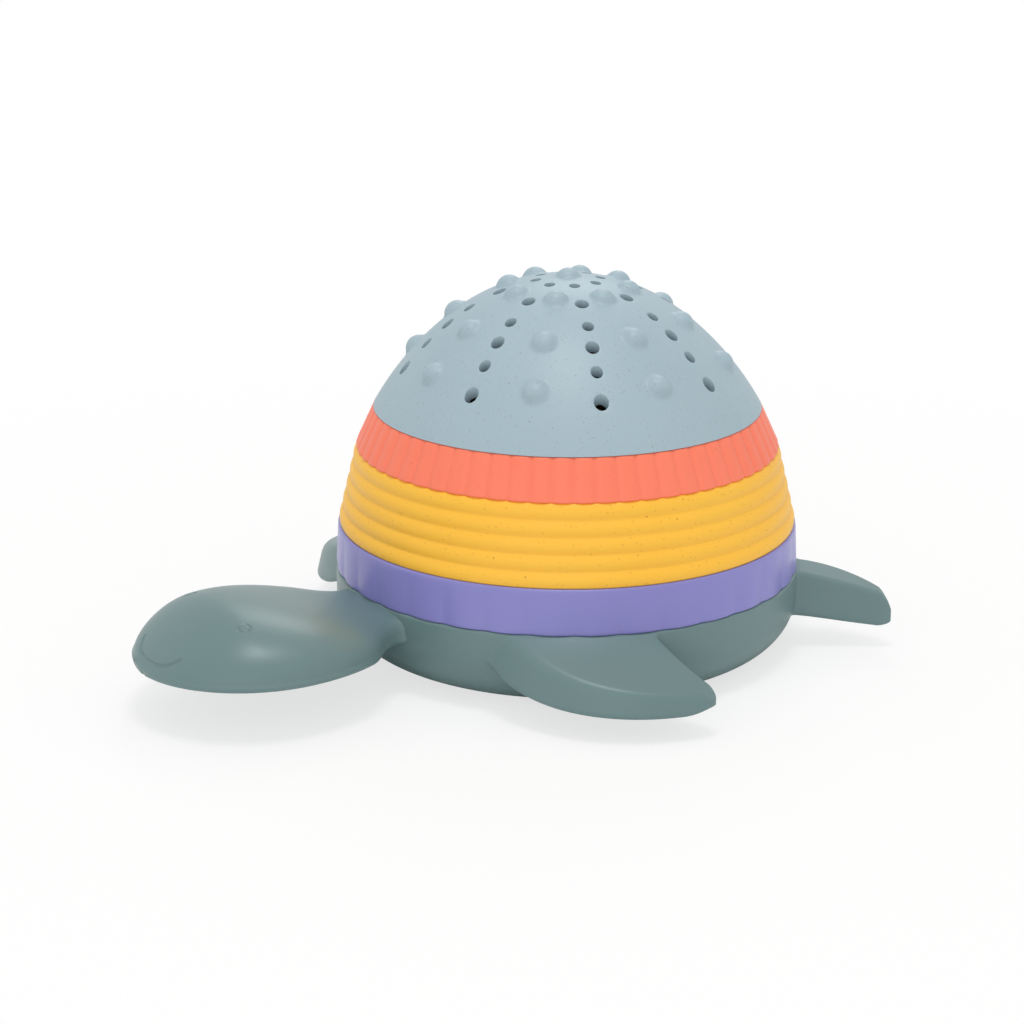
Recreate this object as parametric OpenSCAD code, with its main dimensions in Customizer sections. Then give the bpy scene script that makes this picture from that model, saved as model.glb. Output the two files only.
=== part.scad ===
// Turtle stacking toy: a bowl-shaped base with a head and four flippers, and three loose rings
// and a perforated dome that stack on it to make the shell. Millimetres, +Z up, head towards -X,
// floor at Z = 0, the stack's axis on Z.

/* [Stack] */
// Outer diameter of the base's rim and of the lilac ring's foot
rim_d = 115; // [106:0.5:125]
// Height of the base's rim above the floor
base_h = 20; // [18:0.5:26]
// Height of the lilac ring
lilac_h = 11.2; // [9:0.1:18]
// Outer diameter at the lilac ring's top edge
lilac_top_d = 113.7; // [105:0.1:115]
// Height of the yellow ring
yellow_h = 19.2; // [12:0.1:30]
// Outer diameter at the yellow ring's top edge
yellow_top_d = 104.5; // [98:0.1:112]
// Height of the coral ring
coral_h = 9.7; // [8.5:0.1:16]
// Outer diameter at the coral ring's top edge
coral_top_d = 95.5; // [90:0.1:100]
// Height of the dome above the coral ring, without its bumps
dome_h = 31.3; // [28:0.1:36]

/* [Walls and fits] */
// Wall of the bowl, the rings and the dome
wall_t = 2.4; // [1.6:0.1:3]
// Thickness of the ledge at the top of each ring
ledge_t = 2.2; // [1.4:0.1:3]
// Height of the collar that centres the next piece
collar_h = 5; // [3:0.1:6]
// Wall of the collar
collar_t = 2; // [1.2:0.1:3]
// Gap all round between a collar and the piece that sits over it
fit_gap = 0.4; // [0.3:0.05:1]

/* [Lilac ring] */
// Number of broad upright lobes
lilac_lobes = 34; // [20:1:48]
// Depth of the valleys between the lobes at the ring's foot
lilac_lobe_depth = 0.5; // [0.2:0.05:0.8]

/* [Yellow ring] */
// Number of level rounded bands
yellow_bands = 5; // [3:1:7]
// Depth of the grooves between the bands
yellow_band_depth = 0.6; // [0.3:0.05:0.9]

/* [Coral ring] */
// Number of narrow upright pleats
coral_pleats = 62; // [40:1:72]
// Width of the groove between two pleats
coral_groove_w = 1.4; // [0.8:0.1:2]
// Depth of the groove between two pleats
coral_groove_depth = 0.45; // [0.2:0.05:0.7]

/* [Dome] */
// Radius of the crown as a share of the radius of the dome's foot
crown_share = 1.026; // [0.95:0.01:1.15]
// Angle from upright at which the crown passes into the straighter flank
crown_lean = 46; // [42:0.5:52]
// Number of hole lines, and of bump lines midway between them
dome_lines = 8; // [6:1:9]
// Distances of a line's holes from the axis
hole_reach = [8, 16.9, 24.3, 29.6, 34.8, 40.2]; // each from 6 to 42
// Diameters of a line's holes, in the same order
hole_d = [2.7, 3.4, 2.9, 3.4, 3, 3.6]; // each from 2 to 4
// Distances of a line's bumps from the axis
bump_reach = [17, 30, 40]; // each from 12 to 42
// Diameter of a bump at its foot
bump_d = 7.2; // [5:0.1:8]
// Height of a bump
bump_h = 2; // [0.8:0.1:2.4]

/* [Base] */
// Radius of the bowl's rounded corner
corner_r = 10.5; // [8:0.5:14]
// Radius of the gently rising bottom between the foot and the corner
keel_r = 62; // [50:1:90]
// Diameter of the flat foot
foot_d = 71; // [60:1:76]
// Thickness of the bowl's floor
floor_t = 2.6; // [2:0.1:4]

/* [Head] */
// Distance from the stack's axis to the snout
head_reach = 116; // [110:0.5:126]
// Diameter of the head seen from above
head_d = 58; // [50:0.5:62]
// Height of the head's lower edge above the floor
head_low = 14; // [11:0.2:15]
// Height of the crown above the lower edge
head_h = 12.4; // [9:0.1:14]
// Distance of the crown from the stack's axis
crown_reach = 96; // [90:0.5:102]
// Width of the neck where it enters the bowl
neck_w = 24; // [18:0.5:30]
// Distance from the axis at which the round of the head turns into the neck
neck_start = 68; // [66:0.5:72]
// Drop from the rim to the top of the neck and flippers
root_drop = 0.4; // [0.3:0.1:2]
// Rounding of the lower edges of the head and flippers
edge_r = 1.3; // [0.6:0.1:2]
// Diameter of the ring that marks each eye
eye_d = 3; // [2:0.1:5]
// Distance of the eyes from the stack's axis, along the head
eye_reach = 97; // [92:0.5:102]
// Distance of each eye from the head's middle line
eye_y = 14; // [9:0.5:16]
// Width of the lines of the eyes and the mouth
face_line = 0.9; // [0.5:0.1:1.2]
// Width of the smile from end to end
mouth_w = 18.6; // [12:0.2:22]
// Height of the smile's lowest point above the head's lower edge
mouth_rise = 1.9; // [1.4:0.1:4]
// Rise of the smile's ends above its lowest point
mouth_lift = 2.4; // [1:0.1:3]

/* [Flippers] */
// Height of the front flippers' lower edge at the root
front_low_root = 12; // [10:0.2:14]
// Height of the front flippers' lower edge along the blade
front_low_tip = 6; // [3:0.2:8]
// Height of the front flippers' upper edge at the tip
front_top_tip = 10; // [9:0.2:14]
// Height of the rear flippers' lower edge at the root
rear_low_root = 8; // [7:0.2:10]
// Height of the rear flippers' lower edge at the tip
rear_low_tip = 6; // [3:0.2:8]
// Height of the rear flippers' upper edge at the tip
rear_top_tip = 12; // [10:0.2:14]
// Rounding of the ridge along each leading edge
ridge_r = 3; // [1.5:0.1:4]
// Hollow of the front flippers' upper faces: 1 falls straight from root to tip, more sags
front_sag = 1.3; // [1:0.05:1.6]
// Hollow of the rear flippers' upper faces
rear_sag = 1; // [0.9:0.05:1.4]
// Angles from the head's direction along the front flippers' leading edge: root, two guides, tip
front_lead_turn = [38, 47, 62, 81.5]; // each from 30 to 90
// Distances of the same points beyond the rim
front_lead_out = [0, 10, 24, 19]; // each from 0 to 28
// Angles along the front flippers' trailing edge
front_trail_turn = [77, 79, 81.5, 83.8]; // each from 70 to 95
// Distances of the same points beyond the rim
front_trail_out = [0, 5, 10, 16]; // each from 0 to 24
// Angles along the rear flippers' leading edge
rear_lead_turn = [137, 139.5, 138, 138]; // each from 130 to 145
// Distances of the same points beyond the rim
rear_lead_out = [0, 7, 15, 23.2]; // each from 0 to 28
// Angles along the rear flippers' trailing edge
rear_trail_turn = [148, 149.5, 148, 142]; // each from 140 to 155
// Distances of the same points beyond the rim
rear_trail_out = [0, 10, 18.5, 23.8]; // each from 0 to 28

/* [Hidden] */
$fn = 96;
small_fn = 24;
lobe_fn = 360;
eps = 0.01;

// How far the yellow ring's bands run into each other
lap = wall_t / 12;

// Radii and levels of the stack
rim_r = rim_d / 2;
lilac_top_r = lilac_top_d / 2;
yellow_top_r = yellow_top_d / 2;
coral_top_r = coral_top_d / 2;
lilac_z = base_h;
yellow_z = lilac_z + lilac_h;
coral_z = yellow_z + yellow_h;
dome_z = coral_z + coral_h;
apex_z = dome_z + dome_h;

// How far each ring's wall leans in, as a run per rise
lilac_slope = (rim_r - lilac_top_r) / lilac_h;
yellow_slope = (lilac_top_r - yellow_top_r) / yellow_h;
coral_slope = (yellow_top_r - coral_top_r) / coral_h;

// A wall's thickness measured level, where the wall leans by a slope
function level_wall(slope) = wall_t * sqrt(1 + slope * slope);

// Dome profile: a crown arc, tangent to a flank arc that ends on the coral ring
crown_r = crown_share * coral_top_r;
crown_z = apex_z - crown_r;
lean_dir = [cos(crown_lean), sin(crown_lean)];
crown_end = [0, crown_z] + crown_r * lean_dir;
to_foot = [coral_top_r, dome_z] - crown_end;
flank_r = -(to_foot * to_foot) / (2 * to_foot * lean_dir);
flank_c = crown_end - flank_r * lean_dir;
// Radius of the dome's inner face at a height on the flank
function dome_bore_r(z) = flank_c[0] + sqrt(pow(flank_r - wall_t, 2) - pow(z - flank_c[1], 2));
// Height of the dome's outer face at a distance from the axis
function on_crown(r) = r < crown_end[0];
function dome_top(r) = on_crown(r)
    ? crown_z + sqrt(crown_r * crown_r - r * r)
    : flank_c[1] + sqrt(flank_r * flank_r - pow(r - flank_c[0], 2));
// Tilt of the dome's outward normal from straight up
function dome_tilt(r) = on_crown(r) ? asin(r / crown_r) : asin((r - flank_c[0]) / flank_r);

// Bowl: the corner arc sits inside the keel arc and touches it
corner_c = rim_r - corner_r;
foot_r = foot_d / 2;
corner_z = keel_r - sqrt(pow(keel_r - corner_r, 2) - pow(corner_c - foot_r, 2));
keel_end = foot_r + (corner_c - foot_r) * keel_r / (keel_r - corner_r);

// Inner radius of the base's collar, which is also the mouth of the bowl
base_collar_r = rim_r - level_wall(lilac_slope) - fit_gap;
bowl_mouth_r = base_collar_r - collar_t;

// Points at angles from the head's direction and distances beyond the rim
function beyond_rim(turn, out) = [for (i = [0 : len(turn) - 1])
    (rim_r + out[i]) * [-cos(turn[i]), sin(turn[i])]];
function mix(a, b, t) = a + (b - a) * t;
// Point of a cubic curve through the ends of four control points
function curve(p, t) = pow(1 - t, 3) * p[0] + 3 * t * pow(1 - t, 2) * p[1]
    + 3 * t * t * (1 - t) * p[2] + pow(t, 3) * p[3];

// Closed solid through rings of points that all have the same count
module loft(rings) {
    count = len(rings[0]);
    last = len(rings) - 1;
    sides = [for (i = [0 : last - 1], j = [0 : count - 1])
        let (a = i * count + j, b = i * count + (j + 1) % count)
        each [[a, b + count, b], [a, a + count, b + count]]];
    first_cap = [[for (j = [0 : count - 1]) j]];
    last_cap = [[for (j = [count - 1 : -1 : 0]) last * count + j]];
    polyhedron(points = [for (r = rings) each r], faces = concat(sides, first_cap, last_cap));
}

// Half section of a ring: a leaning wall, a ledge at its top and the collar for the next piece
module ring_section(z, h, foot_r, top_r, next_bore_r, next_bore_top_r) {
    slope = (foot_r - top_r) / h;
    level = level_wall(slope);
    ledge_z = h - ledge_t;
    translate([0, z]) polygon([
        [foot_r - level, 0],
        [foot_r, 0],
        [top_r, h],
        [next_bore_r - fit_gap, h],
        [next_bore_top_r - fit_gap, h + collar_h],
        [next_bore_top_r - fit_gap - collar_t, h + collar_h],
        [next_bore_r - fit_gap - collar_t, h],
        [next_bore_r - fit_gap - collar_t, ledge_z],
        [foot_r - level - slope * ledge_z, ledge_z]
    ]);
}

// Filled half section of the bowl, drawn in from its outside by a wall
module bowl_section(inset, low) {
    translate([0, corner_z]) square([rim_r - inset, base_h - corner_z]);
    translate([corner_c, corner_z]) circle(r = corner_r - inset);
    intersection() {
        translate([foot_r, keel_r]) circle(r = keel_r - inset);
        translate([0, low]) square([keel_end, corner_z - low]);
    }
    translate([0, low]) square([foot_r, corner_z - low]);
}

// Everything inside the bowl and its collar
module bowl_cavity() {
    rotate_extrude() {
        intersection() {
            bowl_section(wall_t, floor_t);
            translate([0, floor_t]) square([bowl_mouth_r, base_h]);
        }
        translate([0, base_h - eps]) polygon([
            [0, 0],
            [bowl_mouth_r, 0],
            [bowl_mouth_r - lilac_slope * collar_h, collar_h + 2 * eps],
            [0, collar_h + 2 * eps]
        ]);
    }
}

// Head: half-oval cross-sections along X, round in plan, drawn in to the neck
head_r = head_d / 2;
head_x = -(head_reach - head_r);
neck_x = -neck_start;
neck_join_w = sqrt(head_r * head_r - pow(neck_x - head_x, 2));
neck_len = 2 * (neck_join_w - neck_w / 2) * neck_join_w / (neck_x - head_x);
neck_top_h = base_h - root_drop - head_low;
brow_power = 1.7;
brow_fall = 0.85;
smile_power = 4;
halvings = 16;
function head_half_w(x) = x < neck_x
    ? sqrt(max(0, head_r * head_r - pow(x - head_x, 2)))
    : neck_w / 2 + (neck_join_w - neck_w / 2) * pow(1 - (x - neck_x) / neck_len, 2);
function smooth_step(t) = t * t * (3 - 2 * t);
function brow_h(t) = head_h * pow(1 - pow(t, brow_power), brow_fall);
function head_top_h(x) = x < -crown_reach
    ? brow_h((-crown_reach - x) / (head_reach - crown_reach))
    : mix(head_h, neck_top_h, smooth_step(min(1, (x + crown_reach) / (crown_reach - rim_r))));
function head_z(x, y) = let (w = max(eps, head_half_w(x)))
    head_low + head_top_h(x) * sqrt(max(0, 1 - pow(y / w, 2)));

head_stations = 20;
neck_stations = 8;
head_arc_points = 24;
snout_angle = 7;
neck_angle = 180 - acos((neck_x - head_x) / head_r);
function head_ring(x) = let (w = head_half_w(x), h = head_top_h(x), r = min(edge_r, w / 3))
    concat(
        [for (k = [0 : head_arc_points]) let (a = 180 * k / head_arc_points)
            [x, w * cos(a), head_low + h * sin(a)]],
        [for (a = [30, 60, 90]) [x, -w + r * (1 - cos(a)), head_low - edge_r * sin(a)]],
        [for (a = [90, 60, 30]) [x, w - r * (1 - cos(a)), head_low - edge_r * sin(a)]]);
module head_form() {
    loft(concat(
        [for (i = [0 : head_stations])
            head_ring(head_x - head_r * cos(mix(snout_angle, neck_angle, i / head_stations)))],
        [for (i = [1 : neck_stations]) head_ring(neck_x + neck_len * i / neck_stations)]));
}

// Cutter for the ring of an eye, square to the head's surface
module eye_groove(side) {
    step = 0.1;
    rise_x = (head_z(-eye_reach + step, eye_y) - head_z(-eye_reach - step, eye_y)) / (2 * step);
    rise_y = (head_z(-eye_reach, eye_y + step) - head_z(-eye_reach, eye_y - step)) / (2 * step);
    normal = [-rise_x, -rise_y * side, 1] / norm([rise_x, rise_y, 1]);
    translate([-eye_reach, side * eye_y, head_z(-eye_reach, eye_y)])
        rotate(a = acos(normal[2]), v = [-normal[1], normal[0], 0])
            rotate_extrude() translate([eye_d / 2, 0]) circle(d = face_line, $fn = small_fn);
}

// Place on the snout at a distance from the middle line and a height, found by halving the span
function snout_x(y, z, outer, inner, steps) = let (mid = (outer + inner) / 2)
    steps == 0 ? mid
    : head_z(mid, y) < z ? snout_x(y, z, mid, inner, steps - 1)
    : snout_x(y, z, outer, mid, steps - 1);
function smile(t) = let (
    y = t * mouth_w / 2,
    z = head_low + mouth_rise + mouth_lift * pow(t, smile_power))
    [snout_x(y, z, -head_reach, -crown_reach, halvings), y, z];

// Cutter for the smile: a tube that follows the snout
module mouth_groove() {
    stations = 24;
    sides = 8;
    step = 1 / stations;
    loft([for (i = [0 : stations]) let (
        t = mix(-1, 1, i / stations),
        ahead = smile(t + step) - smile(t - step),
        out = cross(ahead, [0, 0, 1]),
        level = out / norm(out),
        upright = cross(ahead / norm(ahead), level))
        [for (k = [0 : sides - 1]) let (a = 360 * k / sides)
            smile(t) + face_line / 2 * (level * cos(a) + upright * sin(a))]]);
}

// Height of a flipper's upper face, which falls with the distance beyond the rim
function upper_z(p, tip_top, tip_reach, sag) = let (out = max(0, norm(p) - rim_r) / tip_reach)
    tip_top + (base_h - root_drop - tip_top) * pow(max(0, 1 - out), sag);

// Section of a flipper between its leading and trailing edges: rounded lower edges, a leading wall
// that rounds over a ridge, and an upper face out to the trailing edge
function flipper_ring(lead, trail, low, tip_top, tip_reach, sag) = let (
    chord = norm(trail - lead),
    along = (trail - lead) / chord,
    lip = min(edge_r, chord / 4),
    ridge = min(ridge_r, chord / 3, (upper_z(lead, tip_top, tip_reach, sag) - low) / 2),
    span = chord - ridge - lip,
    upper_steps = 6,
    foot = [for (a = [90, 45, 0]) [lip * (1 - cos(a)), low + lip * (1 - sin(a))]],
    upper = concat(
        [for (a = [0, 30, 60, 90]) [ridge * (1 - cos(a)), ridge * (1 - sin(a))]],
        [for (k = [1 : upper_steps]) [ridge + span * k / upper_steps, 0]],
        [for (a = [45, 90]) [chord - lip * (1 - sin(a)), lip * (1 - cos(a))]]),
    heel = [for (a = [0, 45, 90]) [chord - lip * (1 - cos(a)), low + lip * (1 - sin(a))]])
    concat(
        [for (q = foot) let (p = lead + along * q[0]) [p[0], p[1], q[1]]],
        [for (q = upper) let (p = lead + along * q[0])
            [p[0], p[1], upper_z(p, tip_top, tip_reach, sag) - q[1]]],
        [for (q = heel) let (p = lead + along * q[0]) [p[0], p[1], q[1]]]);

// A flipper from its root inside the bowl's wall
module flipper(lead, trail, tip_reach, low_root, low_tip, tip_top, sag) {
    stations = 14;
    low_fall = 3.4;
    root_sink = (rim_r - wall_t) / rim_r;
    loft(concat(
        [flipper_ring(lead[0] * root_sink, trail[0] * root_sink, low_root, tip_top, tip_reach, sag)],
        [for (i = [1 : stations]) let (t = i / stations)
            flipper_ring(curve(lead, t), curve(trail, t),
                low_tip + (low_root - low_tip) * pow(1 - t, low_fall), tip_top, tip_reach, sag)]));
}

module flippers() {
    flipper(beyond_rim(front_lead_turn, front_lead_out), beyond_rim(front_trail_turn, front_trail_out),
        max(front_lead_out[3], front_trail_out[3]),
        front_low_root, front_low_tip, front_top_tip, front_sag);
    flipper(beyond_rim(rear_lead_turn, rear_lead_out), beyond_rim(rear_trail_turn, rear_trail_out),
        max(rear_lead_out[3], rear_trail_out[3]),
        rear_low_root, rear_low_tip, rear_top_tip, rear_sag);
}

module turtle_base() {
    color("#71888a") difference() {
        union() {
            rotate_extrude() intersection() {
                bowl_section(0, 0);
                square([rim_r, base_h]);
            }
            translate([0, 0, base_h - eps]) cylinder(h = collar_h + eps,
                r1 = base_collar_r, r2 = base_collar_r - lilac_slope * collar_h);
            head_form();
            flippers();
            mirror([0, 1, 0]) flippers();
        }
        bowl_cavity();
        for (side = [-1, 1]) eye_groove(side);
        mouth_groove();
    }
}

// Level section of the valley between two lobes, on the X axis: what two lobe arcs leave free
module valley_section() {
    half = 180 / lilac_lobes;
    cut_share = 0.92;
    reach = cut_share * half;
    valley_r = rim_r - lilac_lobe_depth;
    lobe_c = (rim_r * rim_r - valley_r * valley_r) / (2 * (rim_r - valley_r * cos(half)));
    near_r = valley_r - lilac_lobe_depth;
    far_r = rim_r + lilac_lobe_depth;
    difference() {
        polygon([
            near_r * [cos(reach), -sin(reach)],
            far_r * [cos(reach), -sin(reach)],
            far_r * [cos(reach), sin(reach)],
            near_r * [cos(reach), sin(reach)]
        ]);
        for (side = [-1, 1])
            rotate(side * half) translate([lobe_c, 0]) circle(r = rim_r - lobe_c, $fn = lobe_fn);
    }
}

module lilac_ring() {
    bore_r = lilac_top_r - level_wall(yellow_slope);
    color("#8c86c4") difference() {
        rotate_extrude() ring_section(lilac_z, lilac_h, rim_r, lilac_top_r,
            bore_r, bore_r - yellow_slope * collar_h);
        for (i = [0 : lilac_lobes - 1]) rotate((i + 0.5) * 360 / lilac_lobes)
            translate([0, 0, lilac_z - eps]) linear_extrude(lilac_h) valley_section();
    }
}

module yellow_ring() {
    bore_r = yellow_top_r - level_wall(coral_slope);
    lean = atan(yellow_slope);
    run = yellow_h / cos(lean);
    pitch = run / yellow_bands;
    band_r = (pitch * pitch / 4 + yellow_band_depth * yellow_band_depth) / (2 * yellow_band_depth);
    color("#ffbe42") rotate_extrude() {
        difference() {
            ring_section(yellow_z, yellow_h, lilac_top_r, yellow_top_r,
                bore_r, bore_r - coral_slope * collar_h);
            translate([lilac_top_r, yellow_z]) rotate(lean)
                translate([-yellow_band_depth - lap, 0]) square([wall_t, run + wall_t]);
        }
        intersection() {
            translate([lilac_top_r, yellow_z]) rotate(lean) for (i = [0 : yellow_bands - 1])
                intersection() {
                    translate([-band_r, (i + 0.5) * pitch]) circle(r = band_r);
                    translate([-wall_t / 2, i * pitch - lap]) square([wall_t, pitch + 2 * lap]);
                }
            translate([0, yellow_z]) square([rim_r, yellow_h]);
        }
    }
}

module coral_ring() {
    bore_r = dome_bore_r(dome_z);
    bore_top_r = dome_bore_r(dome_z + collar_h);
    lean = atan(coral_slope);
    run = coral_h / cos(lean);
    cut_r = (pow(coral_groove_w / 2, 2) + pow(coral_groove_depth, 2)) / (2 * coral_groove_depth);
    color("#fa826c") difference() {
        rotate_extrude()
            ring_section(coral_z, coral_h, yellow_top_r, coral_top_r, bore_r, bore_top_r);
        for (i = [0 : coral_pleats - 1]) rotate(i * 360 / coral_pleats)
            translate([yellow_top_r, 0, coral_z]) rotate([0, -lean, 0])
                translate([cut_r - coral_groove_depth, 0, -run / 2])
                    cylinder(r = cut_r, h = 2 * run, $fn = small_fn);
    }
}

// Filled half section of the dome, drawn in from its outside by a wall
module dome_section(inset) {
    intersection() {
        union() {
            translate([0, crown_z]) circle(r = crown_r - inset);
            intersection() {
                translate(flank_c) circle(r = flank_r - inset);
                translate([0, dome_z - eps])
                    square([rim_r, crown_end[1] - inset * lean_dir[1] - dome_z + eps]);
            }
        }
        translate([0, dome_z - (inset > 0 ? eps : 0)]) square([rim_r, 2 * dome_h]);
    }
}

// Moves its children to the dome's face at a distance from the axis, square to it
module on_dome(r) {
    translate([r, 0, dome_top(r)]) rotate([0, dome_tilt(r), 0]) children();
}

module dome_cap() {
    turn = 360 / dome_lines;
    // turns each cutter's seam out of the line of holes
    hole_turn = 90;
    bump_r = (bump_d * bump_d / 4 + bump_h * bump_h) / (2 * bump_h);
    color("#a8bec8") difference() {
        union() {
            rotate_extrude() dome_section(0);
            on_dome(0) translate([0, 0, bump_h - bump_r]) sphere(r = bump_r);
            for (i = [0 : dome_lines - 1], r = bump_reach) rotate(i * turn)
                on_dome(r) translate([0, 0, bump_h - bump_r]) sphere(r = bump_r);
        }
        rotate_extrude() dome_section(wall_t);
        for (i = [0 : dome_lines - 1], k = [0 : len(hole_reach) - 1]) rotate((i + 0.5) * turn)
            on_dome(hole_reach[k]) rotate(hole_turn)
                cylinder(d = hole_d[k], h = 4 * wall_t, center = true, $fn = small_fn);
    }
}

turtle_base();
lilac_ring();
yellow_ring();
coral_ring();
dome_cap();
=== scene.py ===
import math

import bmesh
import bpy
from mathutils import Matrix, Vector
from mathutils.kdtree import KDTree


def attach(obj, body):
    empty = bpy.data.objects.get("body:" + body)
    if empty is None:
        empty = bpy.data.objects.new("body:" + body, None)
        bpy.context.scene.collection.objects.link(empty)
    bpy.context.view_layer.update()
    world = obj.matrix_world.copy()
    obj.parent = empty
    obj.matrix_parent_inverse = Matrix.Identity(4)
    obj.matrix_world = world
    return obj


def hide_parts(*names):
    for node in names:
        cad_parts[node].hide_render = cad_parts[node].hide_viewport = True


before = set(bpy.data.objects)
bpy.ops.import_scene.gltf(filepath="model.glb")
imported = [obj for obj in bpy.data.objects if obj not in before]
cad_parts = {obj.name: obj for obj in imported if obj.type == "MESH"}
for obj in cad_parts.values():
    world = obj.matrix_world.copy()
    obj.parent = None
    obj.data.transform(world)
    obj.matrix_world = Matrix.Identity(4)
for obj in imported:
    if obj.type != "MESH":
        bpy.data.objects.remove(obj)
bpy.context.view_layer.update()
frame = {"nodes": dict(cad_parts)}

mm = 0.001
scene = bpy.context.scene
print("frame loaded, nodes:", ", ".join(frame["nodes"]))

# Shared sizes of the stack, in millimetres as in the part
stack = {
    "rimR": 57.5,
    "baseTop": 20.0,
    "lilacTop": 31.2,
    "yellowTop": 50.4,
    "coralTop": 60.1,
    "lilacTopR": 56.85,
    "yellowTopR": 52.25,
    "coralTopR": 47.75,
    "wall": 2.4,
    "ledge": 2.2,
    "collarHeight": 5.0,
    "collarWall": 2.0,
    "gap": 0.4,
    "inWall": 56.2,
    "pressZone": 2.0,
    "heightSlack": 0.01,
    "cornerSegments": 4,
    "merge": 0.002,
}


def mix(a, b, t):
    return a + (b - a) * t


def ease(t):
    t = min(1.0, max(0.0, t))
    return t * t * (3 - 2 * t)


def hexColour(code):
    parts = [int(code[i:i + 2], 16) / 255 for i in (0, 2, 4)]
    return [c / 12.92 if c <= 0.04045 else ((c + 0.055) / 1.055) ** 2.4 for c in parts] + [1.0]


def addNode(tree, kind, links=(), **settings):
    node = tree.nodes.new(kind)
    for key, value in settings.items():
        if hasattr(node, key):
            setattr(node, key, value)
        else:
            node.inputs[key.replace("_", " ")].default_value = value
    for socket, source in links:
        tree.links.new(source, node.inputs[socket])
    return node


# Bio-composite: plastic filled with plant fibre, moulded with a fine satin grain. The fibre shows as
# sparse brown flecks under the surface, and broad soft highlights run along the rounded edges. Sizes in mm.
plastic = {
    "driftSize": 30.0, "driftDetail": 2.0, "speckEdge": 0.06, "grainSize": 0.5, "grainDetail": 3.0,
    "grainHeight": 0.02, "sheenSpread": 0.05, "ior": 1.48,
}


# Each entry of specks is the size of a cell, the speck's reach as a share of it, its strength and its colour
def fibreFilledPlastic(finish):
    material = bpy.data.materials.new(finish["name"])
    material.use_nodes = True
    tree = material.node_tree
    tree.nodes.clear()
    place = addNode(tree, "ShaderNodeTexCoord").outputs["Object"]
    # broad drift of the colour
    drift = addNode(tree, "ShaderNodeTexNoise", [("Vector", place)],
                    Scale=1 / (plastic["driftSize"] * mm), Detail=plastic["driftDetail"])
    tone = addNode(tree, "ShaderNodeMix", [("Factor", drift.outputs["Fac"])], data_type="RGBA")
    tone.inputs["A"].default_value = hexColour(finish["deep"])
    tone.inputs["B"].default_value = hexColour(finish["pale"])
    colour = tone.outputs["Result"]
    # one speck in each cell, its size given by the cell's own colour
    for cell, speckReach, strength, speckColour in finish["specks"]:
        cells = addNode(tree, "ShaderNodeTexVoronoi", [("Vector", place)], Scale=1 / (cell * mm))
        pick = addNode(tree, "ShaderNodeSeparateColor", [("Color", cells.outputs["Color"])])
        reach = addNode(tree, "ShaderNodeMath", [(0, pick.outputs["Red"])], operation="MULTIPLY")
        reach.inputs[1].default_value = speckReach
        inside = addNode(tree, "ShaderNodeMath",
                         [(0, reach.outputs["Value"]), (1, cells.outputs["Distance"])], operation="SUBTRACT")
        edge = addNode(tree, "ShaderNodeMapRange", [("Value", inside.outputs["Value"])],
                       From_Min=0.0, From_Max=plastic["speckEdge"], To_Min=0.0, To_Max=strength)
        speck = addNode(tree, "ShaderNodeMix", [("Factor", edge.outputs["Result"]), ("A", colour)],
                        data_type="RGBA")
        speck.inputs["B"].default_value = hexColour(speckColour)
        colour = speck.outputs["Result"]
    # satin grain of the mould, drawn coarser than the real one, which is too fine to show
    grain = addNode(tree, "ShaderNodeTexNoise", [("Vector", place)],
                    Scale=1 / (plastic["grainSize"] * mm), Detail=plastic["grainDetail"])
    sheen = addNode(tree, "ShaderNodeMapRange", [("Value", grain.outputs["Fac"])],
                    To_Min=finish["rough"] - plastic["sheenSpread"],
                    To_Max=finish["rough"] + plastic["sheenSpread"])
    relief = addNode(tree, "ShaderNodeBump", [("Height", grain.outputs["Fac"])],
                     Strength=finish["grain"], Distance=plastic["grainHeight"] * mm)
    shader = addNode(tree, "ShaderNodeBsdfPrincipled",
                     [("Base Color", colour), ("Roughness", sheen.outputs["Result"]),
                      ("Normal", relief.outputs["Normal"])], IOR=plastic["ior"])
    addNode(tree, "ShaderNodeOutputMaterial", [("Surface", shader.outputs["BSDF"])])
    return material


# The finished piece, smooth apart from edges over the sharp angle, on its body and in place of its node
def newPiece(bm, name, material, body, node, sharpAngle):
    mesh = bpy.data.meshes.new(name)
    bm.to_mesh(mesh)
    bm.free()
    mesh.materials.append(material)
    for face in mesh.polygons:
        face.use_smooth = True
    mesh.set_sharp_from_angle(angle=math.radians(sharpAngle))
    piece = bpy.data.objects.new(name, mesh)
    scene.collection.objects.link(piece)
    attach(piece, body)
    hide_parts(node)
    print(name, "faces:", len(mesh.polygons))


# A closed section in the XZ plane: corners are rounded, long stretches are split, and it is spun round Z
def turned(corners, rounding, steps, span):
    bm = bmesh.new()
    verts = [bm.verts.new((r * mm, 0, z * mm)) for r, z in corners]
    bm.faces.new(verts)
    for radius in sorted(set(rounding)):
        chosen = [v for v, r in zip(verts, rounding) if r == radius]
        bmesh.ops.bevel(bm, geom=chosen, offset=radius * mm, segments=stack["cornerSegments"], profile=0.5,
                        affect="VERTICES", material=-1)
    for edge in list(bm.edges):
        cuts = int(edge.calc_length() / (span * mm))
        if cuts:
            bmesh.ops.subdivide_edges(bm, edges=[edge], cuts=cuts)
    bmesh.ops.delete(bm, geom=list(bm.faces), context="FACES_ONLY")
    return spun(bm, steps)


def mended(bm):
    bmesh.ops.remove_doubles(bm, verts=bm.verts, dist=stack["merge"] * mm)
    bmesh.ops.recalc_face_normals(bm, faces=bm.faces)


# A line in the XZ plane, spun round Z
def spun(bm, steps):
    bmesh.ops.spin(bm, geom=list(bm.verts) + list(bm.edges), cent=(0, 0, 0), axis=(0, 0, 1),
                   angle=2 * math.pi, steps=steps, use_merge=True)
    mended(bm)
    return bm


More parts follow.
